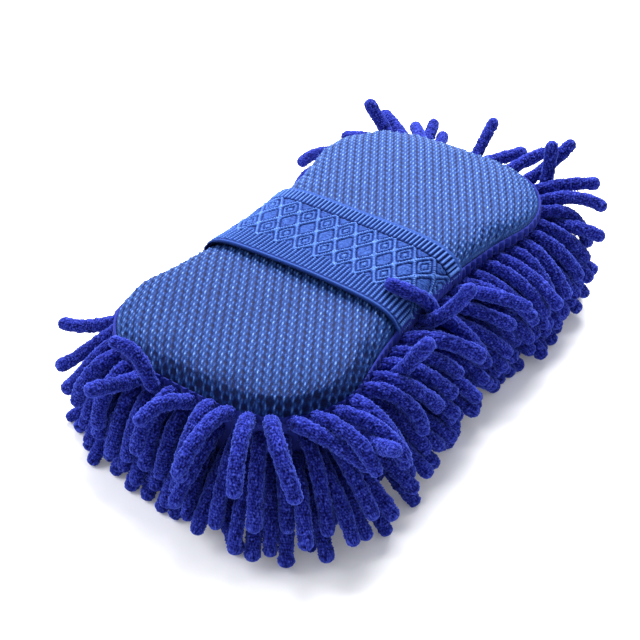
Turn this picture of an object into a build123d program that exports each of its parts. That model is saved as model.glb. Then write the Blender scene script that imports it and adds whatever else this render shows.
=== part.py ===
from build123d import *

import math
import os

# A wash mitt: a figure-8 sponge in a mesh and cloth cover, with sewn rows of chenille noodles on
# its sides and underside and a wide elastic hand strap over its waist.
# +X runs along the mitt, +Y across it (the strap's direction), +Z up from the surface it lies on.
# The origin is on that surface, under the middle of the mitt.

os.makedirs("parts", exist_ok=True)

# --- Driving dimensions, millimetres and degrees ---

half_length = 102.0  # from the middle to the end of a lobe, at the seam
lobe_half_width = 53.0
waist_half_width = 44.5
corner_radius = 34.3  # the round corners of each lobe
corner_x = 66.5  # where those corners are centred along the mitt

underside_height = 17.5  # the cloth's underside, on its bed of noodles
seam_height = 50.0  # where mesh and ground cloth are sewn together
crown_rise = 9.5  # the mesh top above the seam
shoulder_radius = 9.0  # the round shoulder of the mesh
keel_radius = 6.0  # the round lower edge of the ground cloth

cloth_thickness = 1.2  # the same for mesh and ground cloth
foam_gap = 0.3  # between the foam and its covers

binding_width = 5.0
binding_thickness = 2.2
binding_edge_radius = 0.9
sewing_gap = 0.05  # keeps sewn-on trim clear of the surface under it

strap_width = 50.0  # a stock width of elastic
strap_thickness = 1.6
strap_gap = 0.6  # from the mesh up to the strap
strap_offset = -5.5  # the strap's middle line, from the middle of the mitt
strap_flat_half_span = 35.0  # the free crown of the strap, before it turns down
strap_edge_radius = 0.6

stitch_length = 3.0
stitch_height = 0.9
stitch_depth = 0.5
stitch_pitch = 5.0
bar_tack_height = 3.4
bar_tack_width = 0.9
bar_tack_pitch = 4.0

noodle_diameter = 6.6
noodle_length = 34.0  # from the cloth to the round tip
root_depth = 0.8  # how far each noodle's root is sewn into the cloth
root_lead = 4.0  # spare length behind the root, trimmed flush with the cloth's inside

skirt_noodles = 68  # in each row round the sides
skirt_rows = [  # height of the row's roots, tilt at the root, tilt at the tip
    (42.5, 15.0, -35.0),
    (36.5, 2.0, -35.0),
    (30.5, -10.0, -35.0),
    (24.5, -30.0, -36.0),
]
guard_row = 1  # the row whose guard noodles stop things at the mitt's side
guard_places = (4, 13)  # their places in each quarter of that row

belly_rows = 6  # rows across the underside, on each side of the waist
belly_first_row = 7.0  # from the waist to the first row's roots
belly_row_pitch = 14.9
belly_pitch = 7.5  # between the noodles of a row
belly_columns = 6  # the most noodles in a row, on each side of the middle line
belly_margin = 3.0  # from the outermost noodle to the mitt's edge
belly_tip_clearance = 0.1  # under the tips of the noodles that carry nothing
standing_rows = (1, 4)  # the rows that hold the noodles the mitt stands on
standing_column = 3  # their place, counted from the middle line
standing_squash = 0.6  # how much of those tips is pressed flat

# --- What follows from them ---

noodle_radius = noodle_diameter / 2
mesh_top = seam_height + crown_rise
corner_y = lobe_half_width - corner_radius
corner_reach = half_length - corner_x
end_radius = (corner_reach**2 + corner_y**2 - corner_radius**2) / (2 * (corner_reach - corner_radius))
waist_radius = (corner_x**2 + (waist_half_width - corner_y) ** 2 - corner_radius**2) / (
    2 * (lobe_half_width - waist_half_width)
)
end_centre_x = half_length - end_radius
waist_centre_y = waist_half_width + waist_radius
end_angle = math.degrees(math.atan2(corner_y, corner_x - end_centre_x))
waist_angle = math.degrees(math.atan2(corner_x, waist_centre_y - corner_y))


def quarter_arcs(grow):
    """The outline's three tangent arcs in the +X +Y quarter, moved outwards by grow."""
    CenterArc((end_centre_x, 0), end_radius + grow, 0, end_angle)
    CenterArc((corner_x, corner_y), corner_radius + grow, end_angle, 90 + waist_angle - end_angle)
    CenterArc((0, waist_centre_y), waist_radius - grow, waist_angle - 90, -waist_angle)


def outline(grow):
    """The figure-8 outline as a sketch."""
    with BuildSketch() as shape:
        with BuildLine():
            quarter_arcs(grow)
            mirror(about=Plane.XZ)
            mirror(about=Plane.YZ)
        make_face()
    return shape.sketch


def rounded_block(grow, bottom, top, bottom_radius, top_radius):
    """The outline grown, raised from bottom to top, with round lower and upper edges."""
    with BuildPart() as block:
        with BuildSketch(Plane.XY.offset(bottom)):
            add(outline(grow))
        extrude(amount=top - bottom)
        if bottom_radius > 0:
            fillet(block.faces().sort_by(Axis.Z)[0].edges(), bottom_radius)
        if top_radius > 0:
            fillet(block.faces().sort_by(Axis.Z)[-1].edges(), top_radius)
    return block.part


with BuildLine() as quarter_line:
    quarter_arcs(0)
quarter = quarter_line.wire()


def rim_place(turn, grow, height):
    """A place on the outline, for a turn of 0 to 4 quarters from the +X end; its X looks outwards."""
    quadrant = int(turn) % 4
    along = turn % 1
    if quadrant in (1, 3):
        along = 1 - along
    point = quarter @ along
    tangent = quarter % along
    sign_x = 1 if quadrant in (0, 3) else -1
    sign_y = 1 if quadrant in (0, 1) else -1
    outward_x = sign_x * tangent.Y
    outward_y = -sign_y * tangent.X
    heading = math.degrees(math.atan2(outward_y, outward_x))
    return Location(
        (sign_x * point.X + grow * outward_x, sign_y * point.Y + grow * outward_y, height),
        (0, 0, heading),
    )


def write(piece, name):
    """Labels a finished piece and writes its STEP file."""
    piece.label = name
    export_step(piece, f"parts/{name}.step")


# --- Foam core ---

with BuildPart() as foam_core:
    cover = cloth_thickness + foam_gap
    add(
        rounded_block(
            -cover,
            underside_height + cover,
            mesh_top - cover,
            keel_radius - cover,
            shoulder_radius - cover,
        )
    )
write(foam_core.part, "foam_core")

# --- Mesh cover over the top and shoulders, down to the seam ---

with BuildPart() as mesh_cover:
    add(rounded_block(0, seam_height, mesh_top, 0, shoulder_radius))
    add(
        rounded_block(
            -cloth_thickness,
            seam_height,
            mesh_top - cloth_thickness,
            0,
            shoulder_radius - cloth_thickness,
        ),
        mode=Mode.SUBTRACT,
    )
write(mesh_cover.part, "mesh_cover")

# --- Ground cloth: the tray over the sides and underside that the noodles are sewn to ---

with BuildPart() as ground_cloth:
    add(rounded_block(0, underside_height, seam_height, keel_radius, 0))
    add(
        rounded_block(
            -cloth_thickness,
            underside_height + cloth_thickness,
            seam_height,
            keel_radius - cloth_thickness,
            0,
        ),
        mode=Mode.SUBTRACT,
    )
write(ground_cloth.part, "ground_cloth")

# --- Seam binding: the folded cloth edge round the seam ---

with BuildPart() as seam_binding:
    binding_bottom = seam_height - binding_width / 2
    binding_top = seam_height + binding_width / 2
    with BuildSketch(Plane.XY.offset(binding_bottom)):
        add(outline(binding_thickness))
        add(outline(sewing_gap), mode=Mode.SUBTRACT)
    extrude(amount=binding_width)
    outer_edges = [
        edge
        for edge in seam_binding.edges().filter_by(GeomType.CIRCLE)
        if min(
            abs(edge.radius - radius)
            for radius in (
                end_radius + binding_thickness,
                corner_radius + binding_thickness,
                waist_radius - binding_thickness,
            )
        )
        < sewing_gap / 2
    ]
    fillet(outer_edges, binding_edge_radius)
write(seam_binding.part, "seam_binding")

# --- Seam stitches, round the binding except where the strap is tacked down ---

rim_length = 4 * quarter.length
stitch_count = 4 * round(rim_length / stitch_pitch / 4)
trim_grow = binding_thickness + sewing_gap + stitch_depth / 2
stitch_places = [
    rim_place((count + 0.5) * 4 / stitch_count, trim_grow, seam_height) for count in range(stitch_count)
]
stitch_places = [
    place
    for place in stitch_places
    if abs(place.position.X - strap_offset) > strap_width / 2 + stitch_length
    or abs(place.position.Y) < waist_half_width / 2
]

with BuildPart() as seam_stitches:
    with Locations(*stitch_places):
        Box(stitch_depth, stitch_length, stitch_height)
write(seam_stitches.part, "seam_stitches")

# --- Hand strap: a free crown, and a flank at each side that runs down to the binding ---

crown_bottom = mesh_top + strap_gap
crown_top = crown_bottom + strap_thickness
strap_grow = strap_gap + strap_thickness

with BuildPart() as strap_crown:
    with BuildSketch(Plane.XY.offset(crown_bottom)):
        with Locations((strap_offset, 0)):
            Rectangle(strap_width, 2 * strap_flat_half_span)
    extrude(amount=strap_thickness)
    fillet(strap_crown.edges().filter_by(Axis.Y), strap_edge_radius)
write(strap_crown.part, "strap_crown")

flank_reach = waist_half_width  # the cutting box's length, well past the waist
for side, side_name in ((1, "left"), (-1, "right")):
    with BuildPart() as strap_flank:
        add(rounded_block(strap_grow, seam_height, crown_top, 0, shoulder_radius + strap_grow))
        add(
            rounded_block(strap_gap, seam_height, crown_bottom, 0, shoulder_radius + strap_gap),
            mode=Mode.SUBTRACT,
        )
        with BuildSketch(Plane.XY.offset(binding_top)):
            with Locations((strap_offset, side * (strap_flat_half_span + flank_reach / 2))):
                Rectangle(strap_width, flank_reach)
        extrude(amount=crown_rise + binding_width, mode=Mode.INTERSECT)
    write(strap_flank.part, f"strap_flank_{side_name}")

# --- Bar tacks that hold the strap's ends down ---

tack_count = int(strap_width // bar_tack_pitch)
turn_per_mm = 1 / quarter.length

for side, middle_turn, side_name in ((1, 1.0, "left"), (-1, 3.0, "right")):
    tack_places = []
    for count in range(tack_count):
        along = strap_offset + (count - (tack_count - 1) / 2) * bar_tack_pitch
        tack_places.append(rim_place(middle_turn - side * along * turn_per_mm, trim_grow, seam_height))
    with BuildPart() as strap_tacks:
        with Locations(*tack_places):
            Box(stitch_depth, bar_tack_width, bar_tack_height)
    write(strap_tacks.part, f"strap_tacks_{side_name}")

# --- Skirt noodles, in rows round the sides ---


def skirt_noodle(root_tilt, tip_tilt):
    """One drooping noodle in the XZ plane, its root just inside x = 0 and its tip outwards."""
    bend = math.radians(root_tilt - tip_tilt)
    bend_radius = (noodle_length - noodle_radius) / bend
    lead_bend = root_lead / bend_radius
    start_tilt = math.radians(root_tilt) + lead_bend
    start_x = -bend_radius * (math.sin(start_tilt) - math.sin(math.radians(root_tilt)))
    start_z = -bend_radius * (math.cos(math.radians(root_tilt)) - math.cos(start_tilt))
    with BuildPart() as noodle:
        with BuildLine(Plane.XZ) as middle:
            JernArc(
                (start_x, start_z),
                (math.cos(start_tilt), math.sin(start_tilt)),
                bend_radius,
                -math.degrees(bend + lead_bend),
            )
        with BuildSketch(Plane(origin=middle.line @ 0, z_dir=middle.line % 0)):
            Circle(noodle_radius)
        sweep()
        with Locations(middle.line @ 1):
            Sphere(noodle_radius)
        split(bisect_by=Plane.YZ.offset(-root_depth), keep=Keep.TOP)
    return noodle.part


row_step = 4 / skirt_noodles
per_stretch = skirt_noodles // 4
first_turn = -0.5  # the first stretch of a row is centred on the +X end
stretch_names = ("far_end", "left_side", "near_end", "right_side")
guard_noodles = []

for row, (root_height, root_tilt, tip_tilt) in enumerate(skirt_rows):
    shape = skirt_noodle(root_tilt, tip_tilt)
    stagger = 0.5 if row % 2 else 0.0
    for stretch, stretch_name in enumerate(stretch_names):
        places = []
        for count in range(per_stretch):
            turn = (first_turn + stretch + (count + stagger) * row_step) % 4
            place = rim_place(turn, 0, root_height)
            if row == guard_row and round(turn % 1 / row_step) in guard_places:
                guard_noodles.append(place)
            else:
                places.append(place)
        with BuildPart() as skirt_stretch:
            with Locations(*places):
                add(shape)
        write(skirt_stretch.part, f"skirt_row_{row + 1}_{stretch_name}")

with BuildPart() as skirt_guard_noodles:
    with Locations(*guard_noodles):
        add(skirt_noodle(*skirt_rows[guard_row][1:]))
write(skirt_guard_noodles.part, "skirt_guard_noodles")

# --- Belly noodles, in rows across the underside, leaning towards the ends under the weight ---


def belly_noodle(tip_height):
    """One straight noodle in the XZ plane, leaning towards +X, its tip's centre at tip_height."""
    middle_length = noodle_length - noodle_radius
    fall = underside_height - tip_height
    reach = math.sqrt(middle_length**2 - fall**2)
    lead = root_lead / middle_length
    with BuildPart() as noodle:
        with BuildLine(Plane.XZ) as middle:
            Line((-lead * reach, underside_height + lead * fall), (reach, tip_height))
        with BuildSketch(Plane(origin=middle.line @ 0, z_dir=middle.line % 0)):
            Circle(noodle_radius)
        sweep()
        with Locations(middle.line @ 1):
            Sphere(noodle_radius)
        split(bisect_by=Plane.XY, keep=Keep.TOP)
        split(bisect_by=Plane.XY.offset(underside_height + root_depth), keep=Keep.BOTTOM)
    return noodle.part


def half_width_at(along):
    """The outline's half width at a distance along the mitt."""
    if along > corner_x - corner_radius * math.sin(math.radians(waist_angle)):
        return corner_y + math.sqrt(corner_radius**2 - (along - corner_x) ** 2)
    return waist_centre_y - math.sqrt(waist_radius**2 - along**2)


light_noodle = belly_noodle(noodle_radius + belly_tip_clearance)
standing_noodle = belly_noodle(noodle_radius - standing_squash)
standing_places = []

for end, end_name in ((1, "far"), (-1, "near")):
    facing = 0 if end > 0 else 180
    for row in range(belly_rows):
        along = belly_first_row + row * belly_row_pitch
        places = []
        for side in (-1, 1):
            for column in range(belly_columns):
                across = (column + 0.5) * belly_pitch
                if across + noodle_radius > half_width_at(along + noodle_radius) - belly_margin:
                    continue
                place = Location((end * along, side * across, 0), (0, 0, facing))
                if row in standing_rows and column == standing_column:
                    standing_places.append(place)
                else:
                    places.append(place)
        with BuildPart() as belly_row:
            with Locations(*places):
                add(light_noodle)
        write(belly_row.part, f"belly_row_{row + 1}_{end_name}")

with BuildPart() as standing_noodles:
    with Locations(*standing_places):
        add(standing_noodle)
write(standing_noodles.part, "standing_noodles")
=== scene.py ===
import math
from collections import namedtuple

import bpy
import numpy as np
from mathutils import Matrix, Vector


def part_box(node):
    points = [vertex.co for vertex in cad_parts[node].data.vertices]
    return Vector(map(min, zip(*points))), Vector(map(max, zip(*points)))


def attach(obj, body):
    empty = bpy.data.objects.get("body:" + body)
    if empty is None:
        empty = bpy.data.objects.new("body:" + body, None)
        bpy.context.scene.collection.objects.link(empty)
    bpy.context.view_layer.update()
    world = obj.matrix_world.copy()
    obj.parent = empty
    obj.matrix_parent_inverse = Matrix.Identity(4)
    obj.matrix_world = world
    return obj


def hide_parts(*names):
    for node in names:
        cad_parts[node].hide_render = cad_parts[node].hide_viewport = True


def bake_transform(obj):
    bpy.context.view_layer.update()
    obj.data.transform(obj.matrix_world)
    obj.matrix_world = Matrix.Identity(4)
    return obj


# A wash mitt: a mesh-topped sponge in a figure-8 outline, rows of chenille noodles round its
# sides and underside, and a patterned elastic hand strap across its waist.
# Metres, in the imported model's frame: +X along the mitt, +Y across it, +Z up from the floor.

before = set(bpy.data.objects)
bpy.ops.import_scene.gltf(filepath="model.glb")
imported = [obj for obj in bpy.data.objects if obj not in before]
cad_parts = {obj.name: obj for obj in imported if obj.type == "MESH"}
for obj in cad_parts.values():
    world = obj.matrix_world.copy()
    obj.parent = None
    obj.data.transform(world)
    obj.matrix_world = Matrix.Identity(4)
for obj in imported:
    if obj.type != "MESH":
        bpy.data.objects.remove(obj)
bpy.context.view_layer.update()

MM = 0.001

# --- Sizes read from the frame ---

mesh_low, mesh_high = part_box("mesh_cover")
half_length = mesh_high.x
lobe_half_width = mesh_high.y
seam_height = mesh_low.z
cloth_low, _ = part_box("ground_cloth")
underside_height = cloth_low.z
binding_low, binding_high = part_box("seam_binding")
binding_width = binding_high.z - binding_low.z
strap_low, strap_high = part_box("strap_crown")
strap_middle = (strap_low.x + strap_high.x) / 2
strap_width = strap_high.x - strap_low.x
strap_thickness = strap_high.z - strap_low.z

# --- Sizes that no box gives: the outline's arcs, the same as the frame's ---

waist_half_width = 44.5 * MM
corner_radius = 34.3 * MM
corner_x = 66.5 * MM
outline_points = 501  # along each quarter

# --- The soft top and the cloth under it ---

dome_rise = 8.7 * MM  # the mesh's middle above the seam
dome_power = 5.6  # how flat the top is before its shoulders
dome_unevenness = 0.35 * MM
dome_wave = 55 * MM  # how far apart its hollows are
cloth_keel = 6 * MM  # the radius of the ground cloth's lower edge
tiny = 1e-9  # keeps a division by a length from failing

# --- The noodles ---

noodle_radius = 3.3 * MM  # with its pile
core_radius = 2.8 * MM  # without the longest fibres
noodle_length = 34.0 * MM
root_depth = 0.8 * MM
skirt_noodles = 68
row_heights = (42.5 * MM, 36.5 * MM, 30.5 * MM, 24.5 * MM)
row_root_tilts = (26.0, 4.0, -10.0, -26.0)
row_tip_tilts = (-62.0, -58.0, -52.0, -46.0)
guard_row = 1
guard_places = (4, 13)
belly_rows = 6
belly_first_row = 7.0 * MM
belly_row_pitch = 14.9 * MM
belly_pitch = 7.5 * MM
belly_columns = 6
belly_margin = 3.0 * MM
standing_rows = (1, 4)
standing_column = 3
stretch_names = ("far_end", "left_side", "near_end", "right_side")


# --- The outline ---

corner_y = lobe_half_width - corner_radius
corner_reach = half_length - corner_x
end_radius = (corner_reach**2 + corner_y**2 - corner_radius**2) / (2 * (corner_reach - corner_radius))
waist_radius = (corner_x**2 + (waist_half_width - corner_y) ** 2 - corner_radius**2) / (
    2 * (lobe_half_width - waist_half_width)
)
end_centre_x = half_length - end_radius
waist_centre_y = waist_half_width + waist_radius
end_angle = math.atan2(corner_y, corner_x - end_centre_x)
waist_angle = math.atan2(corner_x, waist_centre_y - corner_y)


def quarter_outline(count):
    """Points and outward normals from the +X end to the +Y side, evenly spaced, and the length."""
    arcs = (  # centre x, centre y, radius, start angle, sweep, which way is out
        (end_centre_x, 0, end_radius, 0, end_angle, 1),
        (corner_x, corner_y, corner_radius, end_angle, math.pi / 2 + waist_angle - end_angle, 1),
        (0, waist_centre_y, waist_radius, waist_angle - math.pi / 2, -waist_angle, -1),
    )
    lengths = np.array([radius * abs(sweep) for _, _, radius, _, sweep, _ in arcs])
    ends = np.concatenate([[0], np.cumsum(lengths)])
    points, normals = [], []
    for place in np.linspace(0, ends[-1], count):
        which = min(np.searchsorted(ends, place, side="right") - 1, 2)
        x, y, radius, start, sweep, out = arcs[which]
        angle = start + sweep * (place - ends[which]) / lengths[which]
        points.append((x + radius * math.cos(angle), y + radius * math.sin(angle)))
        normals.append((out * math.cos(angle), out * math.sin(angle)))
    return np.array(points), np.array(normals), ends[-1]


def whole_round(quarter):
    """The quarter's values mirrored into the other three."""
    parts = [
        quarter,
        quarter[::-1] * (-1, 1),
        quarter * (-1, -1),
        quarter[::-1] * (1, -1),
    ]
    return np.concatenate([part[:-1] for part in parts] + [quarter[:1]])


quarter_points, quarter_normals, quarter_length = quarter_outline(outline_points)
rim_points = whole_round(quarter_points)
rim_normals = whole_round(quarter_normals)
rim_turns = np.linspace(0, 4, len(rim_points))
rim_length = 4 * quarter_length


def rim(turn):
    """Outline points and outward normals at turns from 0 to 4, from the +X end by the +Y side."""
    turn = np.asarray(turn) % 4
    points = np.stack([np.interp(turn, rim_turns, rim_points[:, i]) for i in (0, 1)], -1)
    normals = np.stack([np.interp(turn, rim_turns, rim_normals[:, i]) for i in (0, 1)], -1)
    return points, normals


rim_angles = np.arctan2(rim_points[:-1, 1], rim_points[:-1, 0])
by_angle = np.argsort(rim_angles)
polar_angles = rim_angles[by_angle]
polar_reach = np.hypot(rim_points[:-1, 0], rim_points[:-1, 1])[by_angle]
polar_normals = rim_normals[:-1][by_angle]
polar_turns = rim_turns[:-1][by_angle]


def towards(x, y, values):
    """What values, kept in the order of polar_angles, say in the direction of x, y."""
    return np.interp(np.arctan2(y, x), polar_angles, values, period=2 * math.pi)


def outside(x, y):
    """Signed distance outside the outline, and the outward normal there."""
    nx = towards(x, y, polar_normals[:, 0])
    ny = towards(x, y, polar_normals[:, 1])
    away = np.hypot(x, y) + tiny
    facing = (nx * x + ny * y) / away
    return (away - towards(x, y, polar_reach)) * facing, nx, ny


def hump(value, width, power=2):
    """1 where value is 0, and falling to nothing beyond width on both sides."""
    return np.exp(-((value / width) ** power))


def tuck_share(turn):
    """1 at the near end, where the mesh runs down over its binding, 0 elsewhere."""
    near_end, spread = 2.2, 0.42
    return hump(turn - near_end, spread, 4)


def smooth_noise(x, y, size, seed):
    """Smooth random values, mostly from -1 to 1, that change over about size."""
    random = np.random.default_rng(seed)
    value = np.zeros(np.broadcast(x, y).shape)
    waves = 8
    for _ in range(waves):
        angle = random.uniform(0, 2 * math.pi)
        wave = 2 * math.pi / (size * random.uniform(0.7, 1.5))
        phase = random.uniform(0, 2 * math.pi)
        value = value + np.sin(wave * (x * math.cos(angle) + y * math.sin(angle)) + phase)
    return 2 * value / waves


def dome_height(x, y):
    """The height of the mesh's middle surface over a point of the floor."""
    share = np.clip(np.hypot(x, y) / towards(x, y, polar_reach), 0, 1)
    rise = dome_rise * np.sqrt(np.clip(1 - share**dome_power, 0, 1))
    sag = dome_unevenness * smooth_noise(x, y, dome_wave, 3) * (1 - share**4)
    return seam_height + rise + sag


# --- Making meshes ---


def new_piece(name, points, faces, attributes=None):
    """A smooth mesh object from arrays of points and of faces, which all have as many corners."""
    mesh = bpy.data.meshes.new(name)
    points = np.ascontiguousarray(points, np.float32).reshape(-1, 3)
    faces = np.ascontiguousarray(faces, np.int32)
    mesh.vertices.add(len(points))
    mesh.vertices.foreach_set("co", points.ravel())
    mesh.loops.add(faces.size)
    mesh.loops.foreach_set("vertex_index", faces.ravel())
    mesh.polygons.add(len(faces))
    mesh.polygons.foreach_set("loop_start", np.arange(len(faces), dtype=np.int32) * faces.shape[1])
    mesh.update(calc_edges=True)
    mesh.polygons.foreach_set("use_smooth", np.ones(len(faces), bool))
    for key, values in (attributes or {}).items():
        layer = mesh.attributes.new(key, "FLOAT", "POINT")
        layer.data.foreach_set("value", np.ascontiguousarray(values, np.float32).ravel())
    piece = bpy.data.objects.new(name, mesh)
    bpy.context.scene.collection.objects.link(piece)
    return piece


def grid_faces(rows, columns, wrap=False):
    """Quads of a grid of points; with wrap, the last column joins the first."""
    last = columns if wrap else columns - 1
    row, column = np.meshgrid(np.arange(rows - 1), np.arange(last), indexing="ij")
    following = (column + 1) % columns
    corners = [
        row * columns + column,
        row * columns + following,
        (row + 1) * columns + following,
        (row + 1) * columns + column,
    ]
    return np.stack(corners, -1).reshape(-1, 4)


def repeated_faces(faces, points_each, count):
    """The faces of one shape, for count shapes of as many points that follow each other."""
    return np.concatenate([faces + i * points_each for i in range(count)])


def level(spots, height):
    """Points over spots on the floor, at one height or at one each."""
    return np.column_stack([spots, np.broadcast_to(height, len(spots))])


def put_on(piece, body, material, replaced):
    """Gives a piece its material and its body, and hides the CAD nodes it stands for."""
    piece.data.materials.append(material)
    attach(piece, body)
    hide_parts(*replaced)


# --- Materials ---


def set_inputs(node, constants):
    for name, value in constants.items():
        node.inputs[name].default_value = value


def add_node(tree, kind, output, constants, links):
    """A new node's output, with inputs set to constants or linked to other nodes' outputs."""
    node = tree.nodes.new(kind)
    set_inputs(node, constants)
    for name, source in links.items():
        tree.links.new(source, node.inputs[name])
    return node.outputs[output]


def noise_value(tree, scale, detail, roughness):
    """Noise in the frame's own coordinates, in features per metre."""
    where = add_node(tree, "ShaderNodeTexCoord", "Object", {}, {})
    constants = {"Scale": scale, "Detail": detail, "Roughness": roughness}
    return add_node(tree, "ShaderNodeTexNoise", "Fac", constants, {"Vector": where})


def ramp(tree, value, stops):
    node = tree.nodes.new("ShaderNodeValToRGB")
    elements = node.color_ramp.elements
    while len(elements) < len(stops):
        elements.new(0.5)
    for element, (position, colour) in zip(elements, stops):
        element.position = position
        element.color = (*colour, 1)
    tree.links.new(value, node.inputs["Fac"])
    return node.outputs["Color"]


def tinted(tree, colour, value, low, high):
    """The colour times low to high as a noise value goes over its usual range."""
    constants = {"From Min": 0.3, "From Max": 0.7, "To Min": low, "To Max": high}
    scale = add_node(tree, "ShaderNodeMapRange", "Result", constants, {"Value": value})
    multiply = tree.nodes.new("ShaderNodeVectorMath")
    multiply.operation = "SCALE"
    tree.links.new(colour, multiply.inputs[0])
    tree.links.new(scale, multiply.inputs["Scale"])
    return multiply.outputs["Vector"]


def new_material(name, surface):
    """A cloth shader whose constants sit on its own sockets, and its node tree."""
    roughness, sheen, sheen_roughness, sheen_tint = surface
    material = bpy.data.materials.new(name)
    material.use_nodes = True
    shader = material.node_tree.nodes["Principled BSDF"]
    constants = {
        "Roughness": roughness,
        "Specular IOR Level": 0.06,
        "Sheen Weight": sheen,
        "Sheen Roughness": sheen_roughness,
        "Sheen Tint": (*sheen_tint, 1),
    }
    set_inputs(shader, constants)
    return material, material.node_tree, shader


def finish_material(tree, shader, colour, fibres, depth, strength):
    """Links the colour, and fibres as a bump of this depth."""
    constants = {"Distance": depth, "Strength": strength}
    height = noise_value(tree, *fibres)
    normal = add_node(tree, "ShaderNodeBump", "Normal", constants, {"Height": height})
    tree.links.new(normal, shader.inputs["Normal"])
    tree.links.new(colour, shader.inputs["Base Color"])


def yarn_material(name, surface, attribute, stops, mottle, tones, fibres, fibre_bump):
    """Yarn coloured by a height kept on its mesh, darker where low and lighter where high as painted
    shade and highlight, mottled by noise, with fibres as bump.
    """
    material, tree, shader = new_material(name, surface)
    height = tree.nodes.new("ShaderNodeAttribute")
    height.attribute_name = attribute
    base = ramp(tree, height.outputs["Fac"], stops)
    colour = tinted(tree, base, noise_value(tree, *mottle), *tones)
    finish_material(tree, shader, colour, fibres, *fibre_bump)
    return material


def plain_material(name, surface, stops, mottle, fibres, fibre_bump):
    """Cloth, thread or sponge coloured by noise, with fibres or pores as bump."""
    material, tree, shader = new_material(name, surface)
    colour = ramp(tree, noise_value(tree, *mottle), stops)
    finish_material(tree, shader, colour, fibres, *fibre_bump)
    return material


def cloth_material(name, colour):
    return plain_material(
        name,
        surface=(0.9, 0.15, 0.5, (0.3, 0.4, 1.0)),
        stops=[(0.25, tuple(0.75 * c for c in colour)), (0.75, tuple(1.2 * c for c in colour))],
        mottle=(700, 3, 0.6),
        fibres=(3500, 2, 0.6),
        fibre_bump=(0.12 * MM, 0.6),
    )


# surface: roughness, then the sheen's weight, roughness and tint
# mottle and fibres: a noise's scale, detail and roughness; fibre_bump: depth and strength
chenille = yarn_material(
    "chenille",
    surface=(0.95, 0.75, 0.3, (0.16, 0.26, 1.0)),
    attribute="nub",
    # painted shade and highlight: the low stops darken the pile's pits and the high stops lighten its
    # tufts
    stops=[
        (0.1, (0.002, 0.002, 0.035)), (0.35, (0.006, 0.009, 0.13)), (0.6, (0.02, 0.031, 0.31)),
        (0.95, (0.068, 0.1, 0.58)),
    ],
    mottle=(2400, 1, 0.5),
    tones=(0.74, 1.2),
    fibres=(3200, 2, 0.7),
    fibre_bump=(0.3 * MM, 0.9),
)
knit_mesh = yarn_material(
    "knit_mesh",
    surface=(0.6, 0.04, 0.4, (0.3, 0.5, 1.0)),
    attribute="yarn",
    # painted shade and highlight: the low stops darken grooves and openings, partly the dark sponge
    # behind them, and the top stops make pale highlights on the stitches
    stops=[
        (0.02, (0.003, 0.007, 0.045)), (0.18, (0.005, 0.018, 0.1)), (0.42, (0.015, 0.052, 0.21)),
        (0.7, (0.062, 0.138, 0.39)), (1.0, (0.17, 0.28, 0.55)),
    ],
    mottle=(1700, 2, 0.6),
    tones=(0.45, 1.5),
    fibres=(3000, 2, 0.6),
    fibre_bump=(0.2 * MM, 0.6),
)
elastic = yarn_material(
    "elastic_strap",
    surface=(0.75, 0.05, 0.4, (0.3, 0.5, 1.0)),
    attribute="weave",
    # painted shade and highlight: the low stops darken the grooves between cords and ribs, and the
    # top stops lighten their tops
    stops=[
        (0.05, (0.001, 0.004, 0.04)), (0.3, (0.006, 0.02, 0.13)), (0.5, (0.019, 0.055, 0.24)),
        (0.75, (0.05, 0.12, 0.4)), (1.0, (0.13, 0.25, 0.64)),
    ],
    mottle=(1800, 2, 0.7),
    tones=(0.72, 1.28),
    fibres=(3600, 2, 0.6),
    fibre_bump=(0.15 * MM, 0.6),
)
plain_cloth = cloth_material("plain_cloth", (0.014, 0.022, 0.2))
thread = cloth_material("sewing_thread", (0.015, 0.022, 0.19))
sponge = plain_material(
    "sponge",
    surface=(0.95, 0.1, 0.5, (1.0, 1.0, 1.0)),
    stops=[(0.3, (0.01, 0.012, 0.05)), (0.7, (0.03, 0.045, 0.16))],
    mottle=(900, 4, 0.7),
    fibres=(1500, 4, 0.7),
    fibre_bump=(0.5 * MM, 1.0),
)


# --- Foam core ---

foam_clearance = 2.2 * MM  # below the mesh's middle surface, and inside the ground cloth
foam_voxel = 5 * MM
foam_pressure = 4
foam_steps = 12
foam_swell = 3 * MM  # the furthest that the simulation may move the sponge's skin
centre_share = 0.004  # a ring this small, as a share of the outline, closes a surface's middle


def foam_points(rows, columns):
    """The sponge as rings from the top's middle over its shoulders to the underside's middle."""
    edge, normal = rim(np.linspace(0, 4, columns, endpoint=False))
    edge = edge - normal * foam_clearance
    rings = []
    for share in np.linspace(0.0, 0.97, rows):
        spots = edge * max(share, centre_share)
        rings.append(level(spots, dome_height(*spots.T) - foam_clearance))
    bottom = underside_height + foam_clearance
    top = rings[-1][:, 2].mean()
    for share in np.linspace(0.15, 1, rows):
        rings.append(level(edge, top + (bottom + cloth_keel - top) * share))
    for angle in np.linspace(0.2, math.pi / 2, 5):
        spots = edge - normal * cloth_keel * (1 - math.cos(angle))
        rings.append(level(spots, bottom + cloth_keel * (1 - math.sin(angle))))
    last = edge - normal * cloth_keel
    for share in np.linspace(0.9, centre_share, rows):
        rings.append(level(last * share, bottom))
    return np.array(rings)


def apply_modifier(piece, name, kind, **settings):
    """Adds a modifier with these settings to the piece and applies it."""
    modifier = piece.modifiers.new(name, kind)
    for setting, value in settings.items():
        setattr(modifier, setting, value)
    bpy.ops.object.modifier_apply(modifier=modifier.name)


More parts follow.
